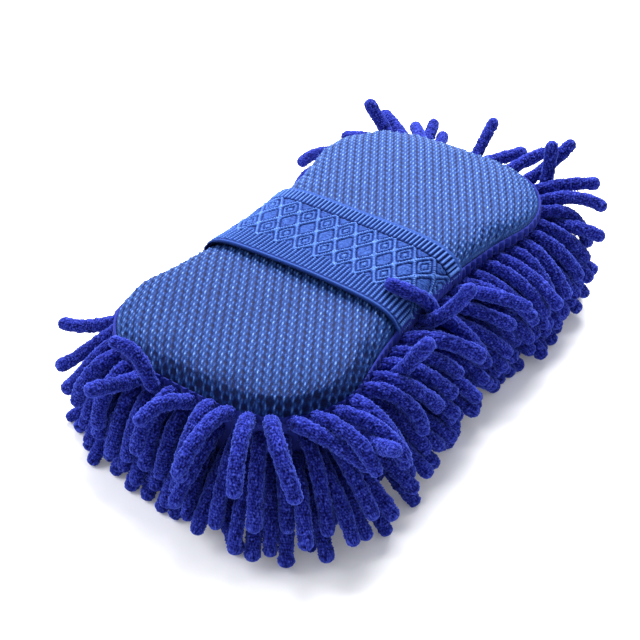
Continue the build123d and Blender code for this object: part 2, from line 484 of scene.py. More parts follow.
def swollen_points(piece):
    """Where a short cloth simulation with pressure inside takes the sponge's points."""
    cloth = piece.modifiers.new("swell", "CLOTH")
    cloth.settings.use_pressure = True
    cloth.settings.uniform_pressure_force = foam_pressure
    cloth.settings.effector_weights.gravity = 0
    cloth.settings.quality = 5
    for step in range(1, foam_steps + 1):
        bpy.context.scene.frame_set(step)
    evaluated = piece.evaluated_get(bpy.context.evaluated_depsgraph_get())
    swollen = np.array([v.co for v in evaluated.data.vertices])
    piece.modifiers.remove(cloth)
    bpy.context.scene.frame_set(1)
    return swollen


def make_foam():
    """The sponge: swollen by a short cloth simulation, then held inside its covers."""
    columns = 120
    rings = foam_points(12, columns)
    piece = new_piece("foam_pad", rings, grid_faces(len(rings), columns, wrap=True))
    bpy.context.view_layer.objects.active = piece
    piece.select_set(True)
    apply_modifier(piece, "even", "REMESH", mode="VOXEL", voxel_size=foam_voxel)
    points = np.array([v.co for v in piece.data.vertices])
    move = swollen_points(piece) - points
    far = np.linalg.norm(move, axis=1, keepdims=True)
    points = points + move * np.minimum(1, foam_swell / np.maximum(far, tiny))
    out, nx, ny = outside(points[:, 0], points[:, 1])
    over = np.maximum(out + foam_clearance, 0)
    points[:, 0] -= over * nx
    points[:, 1] -= over * ny
    ceiling = dome_height(points[:, 0], points[:, 1]) - foam_clearance
    points[:, 2] = np.clip(points[:, 2], underside_height + foam_clearance, ceiling)
    piece.data.vertices.foreach_set("co", points.astype(np.float32).ravel())
    piece.data.polygons.foreach_set("use_smooth", np.ones(len(piece.data.polygons), bool))
    apply_modifier(piece, "round", "SUBSURF", levels=1, render_levels=1)
    piece.select_set(False)
    put_on(piece, "mitt", sponge, ["foam_core"])


make_foam()


# --- Mesh cover ---

knit_long = 3.33 * MM  # the knit's lattice: columns of openings this far apart along the mitt
knit_wide = 4.16 * MM  # and this far apart in a column, with each column half a step on
stitch_columns = 3  # stitches across each column of the lattice
mesh_step = knit_long / 12
mesh_cross_step = knit_wide / 18
mesh_relief = 0.7 * MM
mesh_edge = 0.05 * MM  # grid points nearer the outline than this slide onto it
rim_plain = 1.8 * MM  # the knit flattens out over this much of the mesh beside its seam
rim_line_pitch = 1.35 * MM
pucker_pitch = 4.6 * MM
pucker_height = 0.6 * MM
pucker_reach = 5.5 * MM
shoulder = 6.0 * MM  # the width of the steep part beside the seam
near_drop = 6.4 * MM  # how far the mesh runs down over its binding at the near end
net_reach = 5.5 * MM  # how far up from there it is pulled open
net_opening = 1.2 * MM
net_unevenness = 0.36 * MM

speckle_table = np.random.default_rng(5).normal(0, 1, (97, 89))


def speckle(row, column):
    """A random value from -2 to 2 that is the same all over each stitch."""
    rows, columns = speckle_table.shape
    return speckle_table[row.astype(int) % rows, column.astype(int) % columns].clip(-2, 2)


def lattice(x, y):
    """A place's steps across the knit's wales, and along down a wale."""
    return y / knit_wide - x / (2 * knit_long), y / knit_wide + x / (2 * knit_long)


def nearest_opening(over, along):
    """Steps from a lattice place's nearest opening, and that opening's column and row."""
    column, row = np.floor(over + 0.5), np.floor(along - 0.25)
    return over - column, along - 0.75 - row, column, row


def knit(x, y):
    """The knit's height, 0 to 1: wales of small stitches with openings between them."""
    over, along = lattice(x, y)
    crest = hump(over - np.floor(over) - 0.5, 0.32)
    # each wale is three columns of small round stitches
    column = np.floor(over * stitch_columns)
    aside = over * stitch_columns - column - 0.5
    place = along + 0.5 * column + 0.15 * aside
    number = np.floor(place + 0.5)
    stitch = hump(aside, 0.36) * hump(place - number, 0.27)
    height = 0.13 + 0.2 * crest + stitch * (0.4 + 0.24 * crest + 0.1 * speckle(number, column))
    edge, down, _, _ = nearest_opening(over, along)
    return np.clip(height - 0.24 * hump(edge, 0.15) * hump(down, 0.28), 0, 1)


def loose_net(x, y):
    """The knit pulled open, 0 to 1: strands round openings that are wide here and there."""
    edge, down, column, row = nearest_opening(*lattice(x, y))
    away = np.hypot((down - edge) * knit_long, (down + edge) / 2 * knit_wide)
    wide = net_opening + net_unevenness * speckle(column, row)
    return (1 - hump(away, wide, 4)) * (0.25 + 0.8 * knit(x, y))


def mesh_height(x, y, px, py, depth, turn):
    """The mesh's height without its knit, over px, py: the points that x, y slid to."""
    z = dome_height(px, py)
    # puckers where the mesh is gathered into the seam
    along = turn * quarter_length
    gather = np.sin(2 * math.pi * along / pucker_pitch + 2.2 * smooth_noise(x, y, 24 * MM, 11))
    strength = 0.5 + 0.5 * np.clip(smooth_noise(x, y, 60 * MM, 12), -1, 1)
    fade = hump(depth, pucker_reach) * np.clip(depth / (1.5 * MM), 0, 1)
    z = z + pucker_height * gather * strength * fade
    z = z + 0.5 * MM * smooth_noise(x, y, 17 * MM, 13) * hump(depth, 11 * MM)
    # at the near end it runs on down over the binding
    return z - near_drop * tuck_share(turn) * np.clip(1 - depth / near_drop, 0, 1) ** 1.5


def mesh_yarn(x, nx, y, ny, z, run, turn):
    """The height of the yarn above the cloth's back, 0 to 1, lowered by painted shade over the near
    shoulder and the near half.
    """
    tucked = tuck_share(turn)
    open_share = np.clip(run / rim_plain - 0.15, 0, 1)
    open_share = np.maximum(open_share * open_share * (3 - 2 * open_share), tucked)
    # lines run round the rim, strongest at the corner where the cloth is pulled tightest
    tight_corner, tight_spread = 3.6, 0.35
    tight = 0.4 + 0.6 * hump((turn - tight_corner + 2) % 4 - 2, tight_spread)
    stitches = 0.45 + 0.55 * np.cos(2 * math.pi * turn * quarter_length / rim_line_pitch)
    rim_lines = 0.5 + 0.42 * tight * np.cos(2 * math.pi * run / rim_line_pitch) * stitches
    # painted shade: over the near shoulder the knit is darkened, partly because it is thin there and
    # shows the dark behind it, and partly as painted shade where that shoulder faces away from the
    # light;
    # the whole near half is darkened a little too, as painted shade for the weaker light there
    knit_painted_shade = 0.22 * (tucked * hump(run, 8 * MM)) + 0.035 * (1 - np.tanh(x / (40 * MM)))
    # the knit's lattice follows the shoulder down, and at the near end it is pulled open to a net
    down = 0.6 * (seam_height + dome_rise - z) * hump(run, shoulder)
    x, y = x + nx * down, y + ny * down
    yarn = open_share * knit(x, y) + (1 - open_share) * rim_lines
    yarn = yarn + tucked * hump(run, net_reach, 4) * (loose_net(x, y) - yarn)
    return np.clip(yarn - knit_painted_shade, 0.02, 1)


def make_mesh_cover():
    columns = 2 * math.ceil(half_length / mesh_step) + 1
    rows = 2 * math.ceil(lobe_half_width / mesh_cross_step) + 1
    x = (np.arange(columns) - columns // 2) * mesh_step
    y = (np.arange(rows) - rows // 2) * mesh_cross_step
    y, x = np.meshgrid(y, x, indexing="ij")
    turn = towards(x, y, polar_turns)
    out, nx, ny = outside(x, y)
    inside = out < -mesh_edge
    # outer points slide onto the outline, and inner ones crowd towards it, where it is steep
    run = -np.minimum(out, 0)
    share = np.minimum(run / shoulder, 1)
    depth = np.where(run < shoulder, shoulder * share**2 * (2 - share), run)
    slide = np.where(inside, 0, out) - (run - depth)
    px, py = x - nx * slide, y - ny * slide
    z = mesh_height(x, y, px, py, depth, turn)
    yarn = mesh_yarn(x, nx, y, ny, z, run, turn)
    # the knit itself stands along the surface's normal
    surface = np.stack([px, py, z], -1)
    facing = np.cross(np.gradient(surface, axis=1), np.gradient(surface, axis=0))
    facing /= np.linalg.norm(facing, axis=2, keepdims=True) + tiny * MM
    surface += facing * (mesh_relief * (yarn - 1))[..., None]
    hem = seam_height - 0.6 * MM - near_drop * tuck_share(turn)
    surface[..., 2] = np.where(inside, surface[..., 2], hem)
    faces = grid_faces(rows, columns)
    faces = faces[inside.ravel()[faces].any(axis=1)]
    used, index = np.unique(faces, return_inverse=True)
    points = surface.reshape(-1, 3)[used]
    piece = new_piece("mesh_top", points, index.reshape(-1, 4), {"yarn": yarn.ravel()[used]})
    put_on(piece, "mitt", knit_mesh, ["mesh_cover"])


make_mesh_cover()


# --- Ground cloth, binding, stitches ---

cloth_gather = 0.85 * MM
binding_drop = 2.1 * MM  # the binding's middle below the mesh's edge
binding_gather = 0.8 * MM
stitch_pitch = 5.0 * MM
stitch_length = 3.0 * MM
stitch_drop = 3.0 * MM
stitch_thickness = 0.6 * MM
tack_count = 12
tack_pitch = 4.0 * MM
tack_length = 3.2 * MM


def pleats(turn, pitch, seed):
    """Uneven gathers, -1 to 1, that run round the outline."""
    along = turn * quarter_length
    drift = 2.5 * np.sin(along / (31 * MM) + seed) + 1.5 * np.sin(along / (13 * MM) + 2 * seed)
    wave = np.sin(2 * math.pi * along / pitch + drift)
    return wave * (0.65 + 0.35 * np.sin(along / (22 * MM) + 3 * seed))


def make_ground_cloth():
    """The tray of plain cloth: gathered sides, a rounded lower edge and a flat underside."""
    columns = 960
    turn = np.linspace(0, 4, columns, endpoint=False)
    edge, normal = rim(turn)
    gather = pleats(turn, 3.9 * MM, 1.0)
    rings = []

    def ring(grow, height, depth):
        reach = grow + depth * gather - 0.3 * MM
        rings.append(level(edge + normal * reach[:, None], height))

    for share in np.linspace(0, 1, 22):
        height = seam_height + (underside_height + cloth_keel - seam_height) * share
        ring(0.15 * MM, height, cloth_gather * (1 - share) + 0.15 * MM)
    for angle in np.linspace(0.25, math.pi / 2, 6):
        height = underside_height + cloth_keel * (1 - math.sin(angle))
        ring(-cloth_keel * (1 - math.cos(angle)), height, 0.1 * MM)
    inner = rings[-1][:, :2]
    for share in np.linspace(0.93, 0.01, 14):
        rings.append(level(inner * share, underside_height))
    rings = np.array(rings)
    piece = new_piece("gathered_cloth", rings, grid_faces(len(rings), columns, wrap=True)[:, ::-1])
    put_on(piece, "mitt", plain_cloth, ["ground_cloth"])


def strap_end_share(turn):
    """1 where the strap's ends are sewn in, 0 away from them."""
    points, _ = rim(turn)
    beyond = np.abs(points[:, 0] - strap_middle) - strap_width / 2 - 1 * MM
    return 1 / (1 + np.exp(beyond / (0.8 * MM)))


def make_binding():
    """The folded cloth edge under the mesh's rim: a flat closed band gathered into uneven pleats."""
    columns, around = 1600, 16
    turn = np.linspace(0, 4, columns, endpoint=False)
    edge, normal = rim(turn)
    gather = pleats(turn, 3.7 * MM, 2.0)
    under_strap = strap_end_share(turn)
    along = turn * quarter_length
    tucked = tuck_share(turn)
    waver = 0.3 * MM * np.sin(along / (19 * MM)) + 0.18 * MM * np.sin(along / (7.3 * MM) + 1)
    waver = waver - 1.4 * MM * tucked
    rings = []
    for angle in 2 * math.pi * np.arange(around) / around:
        out = math.cos(angle)
        up = math.sin(angle)
        reach = 0.5 * MM + 0.6 * MM * np.sign(out) * abs(out) ** 0.6 - 1.5 * MM * tucked
        ripple = binding_gather * gather * max(out, 0) * (1 - 0.5 * up) * (1 - 0.8 * under_strap)
        lip = under_strap * MM * (1.15 if out > 0 else 0.2)
        rise = (binding_width / 2 - 0.15 * MM) * np.sign(up) * abs(up) ** 0.5
        height = seam_height - binding_drop + rise + waver + under_strap * 1.3 * MM * max(up, 0)
        rings.append(level(edge + normal * (reach + ripple + lip)[:, None], height))
    # the last ring joins the first
    faces = grid_faces(around + 1, columns, wrap=True) % (around * columns)
    piece = new_piece("edge_binding", np.array(rings), faces[:, ::-1])
    put_on(piece, "mitt", plain_cloth, ["seam_binding"])


def make_threads(name, places, tangents, outs, long, replaced):
    """Small sewn stitches: round-ended loops of twisted thread that bow out of the cloth."""
    rows, around = 13, 8
    shares = np.linspace(-1, 1, rows)
    bows = np.sqrt(np.clip(1 - shares**2, 0, 1))
    angles = 2 * math.pi * np.arange(around) / around
    points = []
    for place, tangent, out in zip(places, tangents, outs):
        across = np.cross(tangent, out)
        for share, bow in zip(shares, bows):
            middle = place + tangent * long / 2 * share + out * (0.45 * MM * bow - 0.3 * MM)
            twist = 1 + 0.12 * math.sin(9 * share)
            size = 0.1 * MM + stitch_thickness / 2 * bow**0.5 * twist
            for angle in angles:
                side = across * (size * math.sin(angle))
                points.append(middle + out * (0.8 * size * math.cos(angle)) + side)
    faces = repeated_faces(grid_faces(rows, around, wrap=True), rows * around, len(places))
    piece = new_piece(name, np.array(points), faces)
    put_on(piece, "mitt", thread, replaced)


def make_seam():
    """The stitches all round, apart from where the strap's ends cover them."""
    count = 4 * round(rim_length / stitch_pitch / 4)
    edge, normal = rim((np.arange(count) + 0.5) * 4 / count)
    beside_strap = np.abs(edge[:, 0] - strap_middle) > strap_width / 2 + 3 * MM
    clear = beside_strap | (np.abs(edge[:, 1]) < waist_half_width / 2)
    edge, normal = edge[clear], normal[clear]
    tangents = level(np.column_stack([-normal[:, 1], normal[:, 0]]), 0)
    places = level(edge + normal * 1.1 * MM, seam_height - stitch_drop)
    outs = level(normal, 0)
    make_threads("seam_thread", places, tangents, outs, stitch_length, ["seam_stitches"])


def make_bar_tacks(name, side, middle_turn, replaced):
    """The upright stitches that hold one end of the strap."""
    along = strap_middle + (np.arange(tack_count) - (tack_count - 1) / 2) * tack_pitch
    edge, normal = rim(middle_turn - side * along / quarter_length)
    places = level(edge + normal * 2.2 * MM, seam_height - 0.8 * MM)
    tangents = np.tile([0, 0, 1.0], (tack_count, 1))
    make_threads(name, places, tangents, level(normal, 0), tack_length, [replaced])


make_ground_cloth()
make_binding()
make_seam()
make_bar_tacks("bar_tacks_left", 1, 1.0, "strap_tacks_left")
make_bar_tacks("bar_tacks_right", -1, 3.0, "strap_tacks_right")


# --- Hand strap ---

# the pattern's sizes are in mm: its zones start this far from the strap's near edge
rib_zone, field_zone, groove_zone, bold_zone, edge_zone = 2.4, 10.4, 40.3, 41.1, 47.9
rib_pitch = 1.92
cell_half_long = 7.75
cell_half_wide = 9.57 / 2
cell_middle = 18.05  # the middle of an opening, from the near edge
cell_offset = 0.8  # and along the strap, from its middle
cell_side = 9.1
bead_pitch = 1.05
strap_step = 0.3 * MM
strap_stand = 0.9 * MM  # the strap's underside above the mesh at its ends
strap_relief = 1.25 * MM


def strap_net(across, along):
    """The strap's field, a net of beaded cords with a second cord and a knot inside every other
    opening, and where ribs show through the lowest openings instead."""
    net_u = (across - cell_middle) / cell_half_long
    net_v = (along + cell_offset) / cell_half_wide
    first, second = net_u + net_v, net_u - net_v
    cell_a, cell_b = np.floor((first + 1) / 2), np.floor((second + 1) / 2)
    in_a, in_b = np.abs(first - 2 * cell_a), np.abs(second - 2 * cell_b)
    rounded = (in_a**7 + in_b**7) ** (1 / 7)
    size = cell_half_long * cell_half_wide / math.hypot(cell_half_long, cell_half_wide)
    # cord is how far, in mm, a place is from the middle of the cord round its opening
    cord = np.maximum(1 - rounded, 0) * size
    way = np.where(in_a > in_b, -1, 1)
    along_cord = (across * cell_half_long + way * along * cell_half_wide) / cell_side
    beads = 0.58 + 0.42 * np.cos(2 * math.pi * along_cord / bead_pitch)
    grain = 0.08 * np.cos(2 * math.pi * (across + 0.4 * along) / bead_pitch)
    grain = grain + 0.07 * speckle(np.floor(across / 0.6), np.floor(along / 0.6))
    field = 0.5 + grain + 0.5 * hump(cord, 0.48) * beads - 0.34 * hump(cord - 0.95, 0.34)
    inner = 0.36 * hump(cord - 1.9, 0.36) * beads - 0.3 * hump(cord - 2.6, 0.32)
    inner = inner + 0.34 * hump(cord - 3.7, 0.5) * beads
    patterned = (cell_a + cell_b) % 2 == 0
    lowest = (across < 13) & (cord > 1.2) & ~patterned
    return field + np.where(patterned, inner, 0), lowest


def strap_pattern(across, along):
    """The strap's relief, 0 to 1: across from its near edge, along from its middle, in mm."""
    field, lowest = strap_net(across, along)
    # beaded ribs under the net's lowest points, and bold ribs beyond its far side
    rib = 0.5 + 0.5 * np.cos(2 * math.pi * along / rib_pitch)
    ends = 0.72 + 0.28 * np.cos(2 * math.pi * across / 1.15 + math.pi * np.round(along / rib_pitch))
    fine = 0.16 + 0.84 * rib**0.9 * ends
    bold = 0.04 + 0.9 * rib**0.8 * (0.93 + 0.07 * np.cos(2 * math.pi * across / 0.9))
    lip = 0.28 + 0.3 * hump(across - 0.9, 0.5)
    height = np.where((across < field_zone) | lowest, fine, field)
    height = np.where(across < rib_zone, lip, height)
    height = np.where((across >= groove_zone) & (across < bold_zone), 0.05, height)
    height = np.where(across >= bold_zone, bold, height)
    height = np.where(across >= edge_zone, 0.5, height)
    return np.clip(height, 0, 1)


def smoothed(values, times):
    """Values evened out along their second axis, whose ends stay."""
    for _ in range(times):
        values[:, 1:-1] = 0.5 * values[:, 1:-1] + 0.25 * (values[:, :-2] + values[:, 2:])
    return values


def strap_lines(x):
    """Lines of y and z over the mitt at each x, evenly spaced, from seam to seam; their length."""
    fine = np.linspace(-1, 1, 1201)
    left_rim = rim_points[: 2 * len(quarter_points) - 1][::-1]
    half = np.interp(x, left_rim[:, 0], left_rim[:, 1])
    lines = []
    for place, reach in zip(x, half):
        # pulled tight, the strap spans the dome's sag and stands off its surface, and its ends
        # turn down over the seam
        run = fine * (reach + 3.2 * MM)
        side_y = np.clip(run, -reach - 0.7 * MM, reach + 0.7 * MM)
        inner = np.clip(side_y, -reach * 0.997, reach * 0.997)
        stand = strap_stand + 0.5 * MM * (1 - fine**2)
        z = dome_height(np.full(len(fine), place), inner) + stand
        lines.append(np.column_stack([side_y, z - np.abs(run - side_y)]))
    # smooth the line along the strap, as a stretched band is
    lines = smoothed(np.array(lines), 60)
    step = np.linalg.norm(np.diff(lines, axis=1), axis=2)
    travelled = np.concatenate([np.zeros((len(lines), 1)), np.cumsum(step, axis=1)], axis=1)
    total = travelled[:, -1].mean()
    share = np.linspace(0, 1, int(total / strap_step))
    base = np.empty((len(lines), len(share), 2))
    for i, line in enumerate(lines):
        for axis in (0, 1):
            base[i, :, axis] = np.interp(share * travelled[i, -1], travelled[i], line[:, axis])
    return base, share, total


def make_strap():
    """The elastic band: its woven top, and a plain underside on every third point."""
    cross = np.arange(0, strap_width + strap_step / 2, strap_step)
    x = strap_low.x + cross
    base, share, total = strap_lines(x)
    tangent = np.gradient(base, axis=1)
    tangent /= np.linalg.norm(tangent, axis=2, keepdims=True)
    normal = np.stack([-tangent[..., 1], tangent[..., 0]], -1)
    across, along = np.meshgrid(cross / MM, (share - 0.5) * total / MM, indexing="ij")
    pattern = strap_pattern(across, along)
    # the near edge rolls up a little off the mesh
    bottom = 0.6 * MM * hump(across, 3.0) * (1 - (2 * share - 1) ** 2)
    thick = strap_thickness - 0.25 * MM
    edge_fade = np.clip(np.minimum(across, across[-1, 0] - across) / 0.5, 0, 1) ** 0.5
    woven = thick * (0.35 + 0.65 * edge_fade) + strap_relief * (pattern - 0.6) * edge_fade

    def placed(height):
        wide = np.broadcast_to(x[:, None], height.shape)
        return np.concatenate([wide[..., None], base + normal * height[..., None]], -1)

    upper = placed(bottom + woven)
    lower = placed(bottom)[::3, ::3]
    upper_faces = grid_faces(*upper.shape[:2])[:, ::-1]
    lower_faces = grid_faces(*lower.shape[:2]) + pattern.size
    piece = new_piece(
        "hand_strap",
        np.concatenate([upper.reshape(-1, 3), lower.reshape(-1, 3)]),
        np.concatenate([upper_faces, lower_faces]),
        {"weave": np.concatenate([pattern.ravel(), np.full(lower[..., 0].size, 0.4)])},
    )
    piece.data.materials.append(elastic)
    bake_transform(piece)
    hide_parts("strap_crown", "strap_flank_left", "strap_flank_right")


make_strap()


# --- Noodles ---

Noodle = namedtuple("Noodle", "node root heading root_tilt tip_tilt row turn")
underneath_row = -1


def skirt_layout():
    """The noodles round the sides, as the frame's rows have them."""
    noodles = []
    step = 4 / skirt_noodles
    for row, height in enumerate(row_heights):
        for stretch, stretch_name in enumerate(stretch_names):
            for count in range(skirt_noodles // 4):
                turn = (-0.5 + stretch + (count + (0.5 if row % 2 else 0.0)) * step) % 4
                edge, normal = rim(turn)
                node = f"skirt_row_{row + 1}_{stretch_name}"
                if row == guard_row and round(turn % 1 / step) in guard_places:
                    node = "skirt_guard_noodles"
                heading = math.atan2(normal[1], normal[0])
                tilts = row_root_tilts[row], row_tip_tilts[row]
                noodles.append(Noodle(node, (*edge, height), heading, *tilts, row, turn))
    return noodles


def belly_layout():
    """The noodles underneath, and among them the ones that the mitt stands on."""
    noodles = []
    fall = underside_height - noodle_radius
    tilt = -math.degrees(math.asin(fall / (noodle_length - noodle_radius)))
    edge_x, edge_y = quarter_points[::-1].T
    for end, end_name, heading in ((1, "far", 0.0), (-1, "near", math.pi)):
        for row in range(belly_rows):
            along = belly_first_row + row * belly_row_pitch
            room = np.interp(along + noodle_radius, edge_x, edge_y) - belly_margin
            for side in (-1, 1):
                for column in range(belly_columns):
                    across = (column + 0.5) * belly_pitch
                    if across + noodle_radius > room:
                        continue
                    node = f"belly_row_{row + 1}_{end_name}"
                    if row in standing_rows and column == standing_column:
                        node = "standing_noodles"
                    root = (end * along, side * across, underside_height)
                    noodles.append(Noodle(node, root, heading, tilt, tilt, underneath_row, 0.0))
    return noodles


# How the skirt hangs, by quarter turns from the +X end: degrees added to every row's tilt at the
# root and at the tip, the sweep towards +X, degrees added to the top row's tilt at the root, how
# far its roots climb in mm, and the length's share
skirt_lie = np.array(
    (
        (0.0, -34, -24, 0, 0, 0, 1.0),
        (0.35, -42, -26, 0, 0, 0, 1.0),
        (0.6, -58, -26, 0, 0, 0, 1.0),
        (1.0, -62, -26, 0, 0, 0, 1.0),
        (1.55, -54, -24, 0, 0, 0, 1.04),
        (1.7, -20, -24, 0, 20, 1.6, 0.92),
        (2.0, -4, -22, 0, 52, 4.0, 0.87),
        (2.15, 6, 8, 4, 48, 5.0, 1.05),
        (2.35, 0, 6, 8, 48, 4.8, 1.1),
        (2.5, -4, 4, 12, 42, 3.6, 1.03),
        (2.75, 4, 22, 22, 20, 1.4, 1.08),
        (3.0, 8, 24, 26, 0, 0, 1.13),
        (3.25, 8, 14, 24, 0, 0, 1.09),
        (3.5, 4, 6, 6, 0, 0, 0.96),
        (3.65, 14, 18, 0, 0, 0, 1.04),
        (3.8, -14, -12, 0, 0, 0, 1.0),
        (4.0, -34, -24, 0, 0, 0, 1.0),
    )
)
second_row_lift = 0.6  # the second row's roots climb by this share of the top row's
steepest = math.radians(-88)  # no tip hangs more steeply than this
belly_fan = math.radians(40)
# how unevenly noodles lie: degrees of heading, root tilt, tip tilt and curl, and share of length
heading_spread, root_spread, tip_spread, curl_spread = 6, 8, 10, 12
length_spread = 0.03

# Noodles placed one by one: those of the top two rows that stand out from their row, and low ones
# that fill the skirt's edge at the near end. Row, turn, side swing, tilt at the root and at the
# tip, and how far they swing on along their length, in degrees
strays = (
    (0, 0.441, 10, -7, -50, 0),
    (0, 0.265, 50, -6, -18, 0),
    (1, 0.235, 45, 26, 42, 0),
    (0, 0.206, 38, 6, 3, 0),
    (0, 0.147, 31, -4, -14, 0),
    (1, 0.176, 8, 10, 5, 0),
    (1, 0.118, 16, 3, -8, 0),
    (1, 0.0, 0, 42, 20, 0),
    (0, 3.971, -22, 0, -4, 0),
    (1, 3.882, -18, 18, 17, 0),
    (0, 3.794, -14, 12, 45, 0),
    (1, 3.706, 38, 54, 59, 0),
    (0, 3.735, -22, 27, -5, 0),
    (0, 3.676, -17, 41, -32, 0),
    (1, 3.647, -22, 41, -34, 0),
    (0, 1.559, -5, -47, 6, 0),
    (0, 1.618, 0, -54, -20, 0),
    (0, 1.676, 0, -60, -26, 0),
    (0, 1.912, 80, 59, 185, 59),
    (0, 2.029, -6, 78, -39, 0),
    (0, 1.853, 2, 24, 17, 0),
    (0, 2.324, 62, 36, -53, 0),
    (1, 2.471, -6, 12, 31, 0),
    (1, 2.647, 2, 59, 45, 0),
    (1, 2.941, -50, 90, 20, -119),
    (0, 2.912, 2, 34, 62, 0),
    (2, 2.324, -3, -8, -36, 0),
    (2, 2.382, -4, -8, -38, 0),
    (3, 2.118, 0, -66, -95, 0),
    (3, 2.176, 0, -55, -82, 0),
    (3, 2.235, 5, -24, -44, 0),
    (3, 2.294, -1, -24, -48, 0),
    (3, 2.353, 0, -24, -44, 0),
    (3, 2.412, 5, -24, -44, 0),
    (3, 2.471, -4, -24, -46, 0),
)

# the simulation of the noodles as rods
rod_points = 8  # along each noodle's middle line
rod_steps = 140
rod_passes = 4
rod_gap = 0.1 * MM  # between noodles that touch
rod_sag = 0.05 * MM  # how far gravity moves a tip in each step
bend_share = 0.22  # how much of a bend is undone in each pass
push_share = 0.28  # how much of an overlap each of a pair gives up in each pass


def rest_lines(noodles, random):
    """Each noodle's relaxed middle line, its segments' length, and gravity's share on it."""
    count = len(noodles)
    roots = np.array([noodle.root for noodle in noodles])
    heading, root_tilt, tip_tilt, row, place = np.array([noodle[2:] for noodle in noodles]).T
    root_tilt, tip_tilt = np.radians(root_tilt), np.radians(tip_tilt)
    skirt = row != underneath_row
    columns = (np.interp(place, skirt_lie[:, 0], column) for column in skirt_lie[:, 1:].T)
    root_lie, tip_lie, sweep, rise, climb, length = columns
    root_tilt += skirt * np.radians(root_lie)
    tip_tilt += skirt * np.radians(tip_lie)
    root_tilt += (row == 0) * np.radians(rise)
    tip_tilt = np.maximum(tip_tilt, steepest)
    heading = heading + skirt * np.radians(sweep)
    # those underneath fan out towards the corners
    heading += ~skirt * np.cos(heading) * belly_fan * roots[:, 1] / (belly_columns * belly_pitch)
    # the lower rows lie more evenly than the top two, and those along the right side the least so
    wild = np.select([~skirt, row > 1], [0.35, 0.6], 1.0)
    uneven = wild * (1 + 0.9 * hump(place - 3.0, 0.35))
    heading = heading + uneven * np.radians(random.normal(0, heading_spread, count))
    root_tilt = root_tilt + uneven * np.radians(random.normal(0, root_spread, count))
    tip_tilt = tip_tilt + uneven * np.radians(random.normal(0, tip_spread, count))
    curl = wild * np.radians(random.normal(0, curl_spread, count))
    weight = np.where(skirt, 1.0, 0.3)
    bend_power = np.where(skirt, 0.6, 1.0)
    for stray_row, turn, swing, start_tilt, end_tilt, on in strays:
        gaps = np.where(row == stray_row, np.abs((place - turn + 2) % 4 - 2), np.inf)
        which = np.argmin(gaps)
        heading[which] = noodles[which].heading + math.radians(swing)
        root_tilt[which] = math.radians(start_tilt)
        tip_tilt[which] = math.radians(end_tilt)
        curl[which] = math.radians(on)
        weight[which] = 0.0
        bend_power[which] = 1.0
    length = np.where(skirt, length * random.normal(1, length_spread, count), 1.0)[:, None]
    segment = (noodle_length - noodle_radius + root_depth) * length / (rod_points - 1)
    roots[:, 2] += ((row == 0) + second_row_lift * (row == 1)) * climb * MM
    share = (np.arange(rod_points - 1) + 0.5) / (rod_points - 1)
    tilt = root_tilt[:, None] + (tip_tilt - root_tilt)[:, None] * share ** bend_power[:, None]
    turn = heading[:, None] + curl[:, None] * share
    ways = np.stack([np.cos(tilt) * np.cos(turn), np.cos(tilt) * np.sin(turn), np.sin(tilt)], -1)
    start = (roots - ways[:, 0] * root_depth)[:, None]
    lines = np.concatenate([start, start + np.cumsum(segment[:, None] * ways, axis=1)], axis=1)
    return lines, segment, weight


def near_pairs(points, owner, reach):
    """Pairs of points of different noodles that are within reach of each other."""
    points = points.astype(np.float32)
    order = np.argsort(points[:, 0])
    ordered = points[order]
    first, second = [], []
    block_size = 256
    for start in range(0, len(points), block_size):
        block = ordered[start : start + block_size]
        stop = np.searchsorted(ordered[:, 0], block[-1, 0] + reach, side="right")
        apart = ((block[:, None] - ordered[None, start:stop]) ** 2).sum(-1)
        i, j = np.nonzero(apart < reach * reach)
        keep = j > i
        first.append(order[start + i[keep]])
        second.append(order[start + j[keep]])
    first, second = np.concatenate(first), np.concatenate(second)
    different = owner[first] != owner[second]
    return first[different], second[different]


def keep_outside(points):
    """Moves noodle points out of the floor, the sponge's sides and its top and underside."""
    flat = points.reshape(-1, 3)
    x, y, z = flat.T
    out, nx, ny = outside(x, y)
    side = core_radius + 0.6 * MM - out
    above = dome_height(x, y) + core_radius + 0.3 * MM - z
    under = z - (underside_height - core_radius)
    held = (side > 0) & (above > 0) & (under > 0)
    # each is moved by the shortest way out
    least = np.minimum(np.minimum(side, above), under)
    push_side = held & (least == side)
    push_up = held & (least == above) & ~push_side
    push_down = held & ~push_side & ~push_up
    flat[:, 0] += np.where(push_side, side * nx, 0)
    flat[:, 1] += np.where(push_side, side * ny, 0)
    flat[:, 2] += np.where(push_up, above, 0) - np.where(push_down, under, 0)
    flat[:, 2] = np.maximum(flat[:, 2], core_radius + 0.1 * MM)
    return flat.reshape(points.shape)


def hold_bend(points, before, rest_bend):
    """Turns each noodle back a little towards its relaxed bend."""
    whole = np.concatenate([before, points], axis=1)
    off = (whole[:, :-2] - 2 * whole[:, 1:-1] + whole[:, 2:] - rest_bend) / 6
    change = np.zeros_like(whole)
    change[:, :-2] -= off
    change[:, 1:-1] += 2 * off
    change[:, 2:] -= off
    return points + bend_share * change[:, 1:]


def push_apart(points, first, second, apart):
    """Moves the points of pairs that are too close away from each other."""
    flat = points.reshape(-1, 3)
    between = flat[second] - flat[first]
    distance = np.sqrt((between**2).sum(1)) + tiny
    push = np.maximum(apart - distance, 0) / distance
    move = between * (push_share * push)[:, None]
    for axis in range(3):
        onward = np.bincount(second, move[:, axis], len(flat))
        flat[:, axis] += onward - np.bincount(first, move[:, axis], len(flat))
    return flat.reshape(points.shape)


